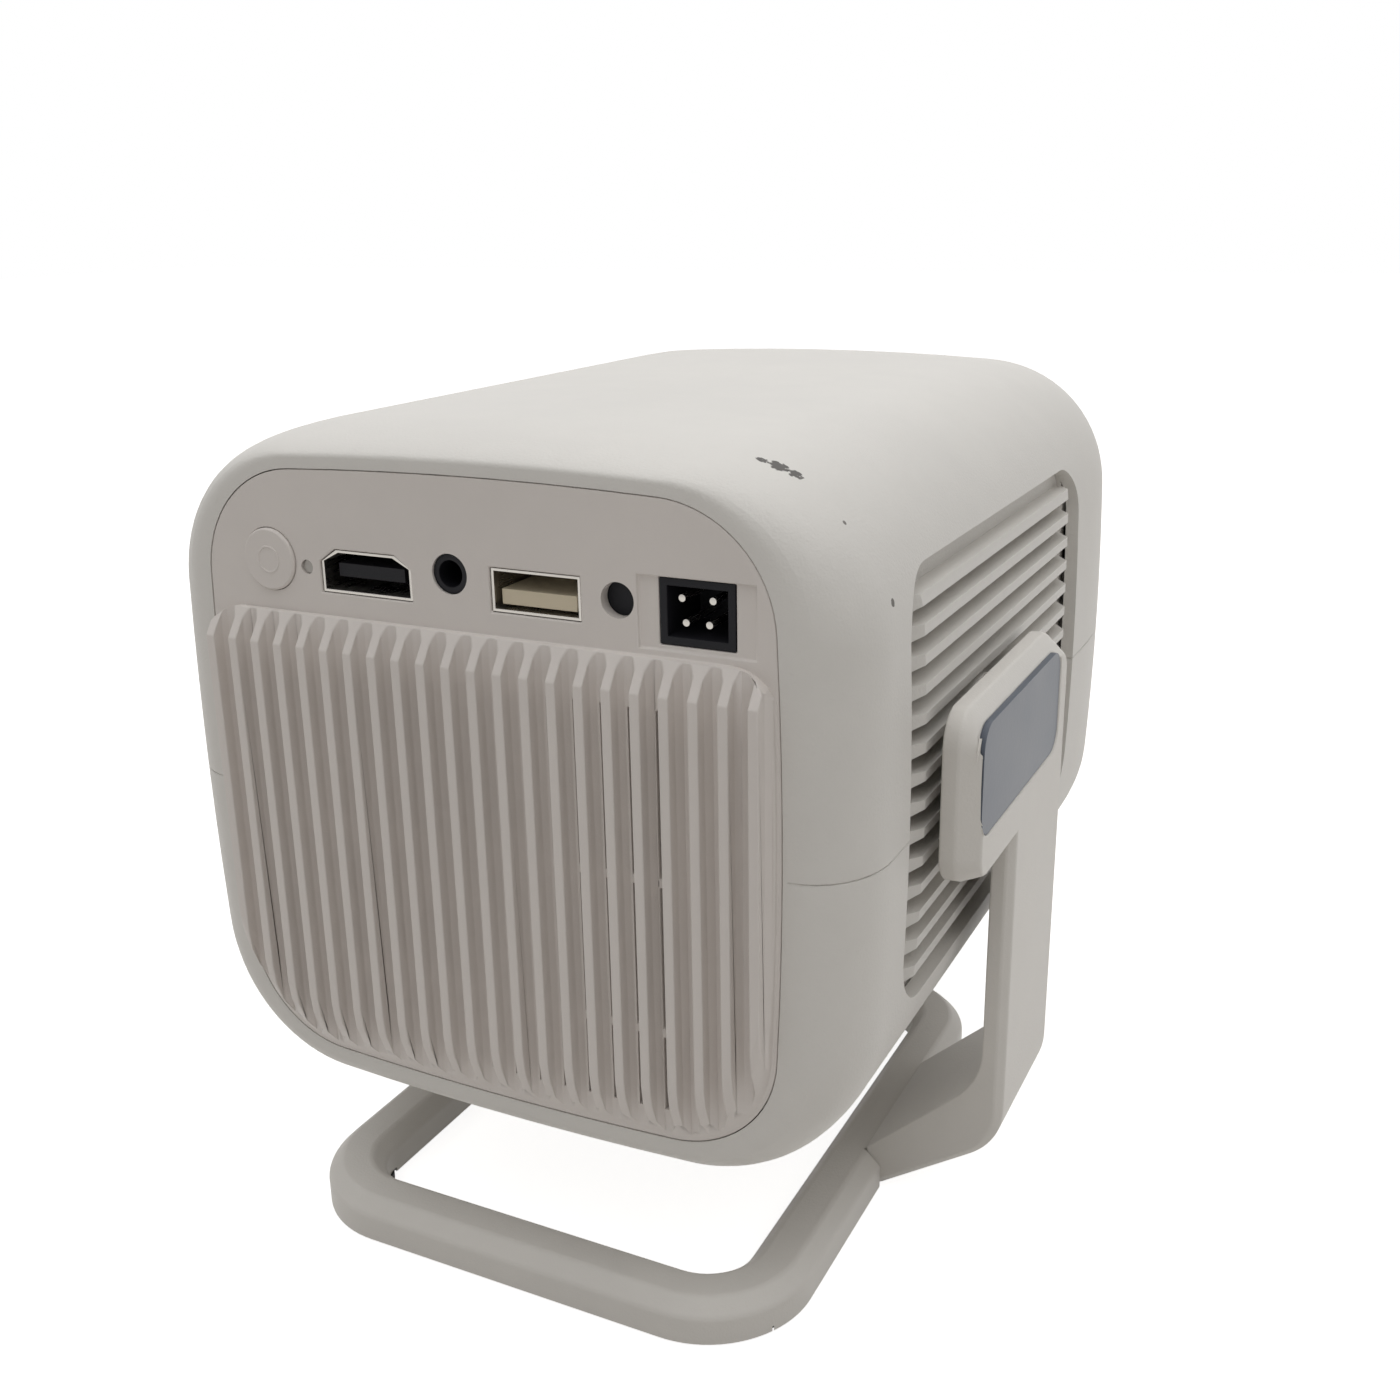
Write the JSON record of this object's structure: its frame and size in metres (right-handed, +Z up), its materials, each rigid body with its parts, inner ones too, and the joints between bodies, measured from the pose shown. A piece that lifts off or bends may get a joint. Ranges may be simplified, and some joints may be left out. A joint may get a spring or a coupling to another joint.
{
  "type": "projector",
  "caption": "Small projector: rounded finned housing with rear sockets, tilting between the two arms of a flat looped stand.",
  "frame": {"origin": "centre of the footprint on the surface that the stand rests on", "axes": "+Z up, lens facing -Y, sockets and rear grille facing +Y, -X the right-hand side seen from behind"},
  "size_m": [0.1222, 0.149, 0.1261],
  "materials": {
    "body_plastic": "fine-textured warm pale beige-grey moulding",
    "panel_plastic": "smooth satin warm pale grey moulding",
    "stand_plastic": "fine-textured warm pale beige-grey moulding",
    "window_plastic": "smooth blue-grey gloss inlay",
    "black_plastic": "plain black moulding",
    "dark_gloss": "black gloss",
    "cream_plastic": "cream socket tongue",
    "nickel": "bright nickel-plated sheet",
    "steel": "zinc-plated steel",
    "brass": "turned brass",
    "aluminium": "extruded aluminium",
    "board": "green solder-masked board",
    "lens_glass": "coated lens",
    "rubber": "soft rubber",
    "nylon": "slippery nylon",
    "light_pipe": "clear light pipe",
    "cone": "speaker frame and magnet"
  },
  "bodies": {
    "stand": {"base_loop": "stand_plastic", "foot_pads": "rubber", "arm_screws": "steel", "left_arm": "stand_plastic", "left_window": "window_plastic", "left_pivot_pin": "steel", "left_friction_washer": "nylon", "right_arm": "stand_plastic", "right_window": "window_plastic", "right_pivot_pin": "steel", "right_friction_washer": "nylon"},
    "projector": {"upper_shell": "body_plastic", "lower_shell": "body_plastic", "rear_panel": "panel_plastic", "front_panel": "dark_gloss", "lens_bezel": "body_plastic", "optical_engine": "black_plastic", "condenser_lens": "lens_glass", "lcd_panel": "dark_gloss", "field_lens": "lens_glass", "led_board": "board", "led_heatsink": "aluminium", "main_board": "board", "board_screws": "steel", "button_switch": "black_plastic", "status_light": "light_pipe", "video_socket": "nickel", "video_tongue": "black_plastic", "audio_jack": "black_plastic", "data_socket": "nickel", "data_tongue": "cream_plastic", "ir_window": "dark_gloss", "power_socket": "black_plastic", "power_pins": "nickel", "fan_frame": "black_plastic", "fan_screws": "steel", "case_screws": "steel", "left_pivot_bush": "brass", "left_pivot_plate": "steel", "left_side_grille": "body_plastic", "left_speaker": "cone", "right_pivot_bush": "brass", "right_pivot_plate": "steel", "right_side_grille": "body_plastic", "right_speaker": "cone"},
    "power_button": {"power_button": "body_plastic"},
    "fan_rotor": {"fan_rotor": "black_plastic"},
    "focus_ring": {"focus_ring": "black_plastic"},
    "lens_barrel": {"lens_barrel": "black_plastic", "front_lens": "lens_glass", "rear_lens": "lens_glass"}
  },
  "joints": [
    {"name": "body_tilt", "type": "hinge", "parent": "stand", "child": "projector", "pos_m": [0, 0.01955, 0.0763], "axis": [-1, 0, 0], "range_deg": [-15, 90]},
    {"name": "button_press", "type": "slide", "parent": "projector", "child": "power_button", "axis": [0, -1, 0], "range_m": [0, 0.0005], "stiffness_N_per_m": 1500, "springref_m": -0.0007},
    {"name": "fan_spin", "type": "hinge", "parent": "projector", "child": "fan_rotor", "pos_m": [-0.014, 0.0595, 0.0615], "axis": [0, 1, 0], "continuous": true},
    {"name": "focus_turn", "type": "hinge", "parent": "projector", "child": "focus_ring", "pos_m": [0, -0.07, 0.0763], "axis": [0, -1, 0], "range_deg": [0, 240]},
    {"name": "barrel_slide", "type": "slide", "parent": "projector", "child": "lens_barrel", "axis": [0, -1, 0], "range_m": [0, 0.004]}
  ],
  "couplings": [
    {"joint": "barrel_slide", "follows": "focus_turn", "m_per_rad": 0.00095493}
  ]
}
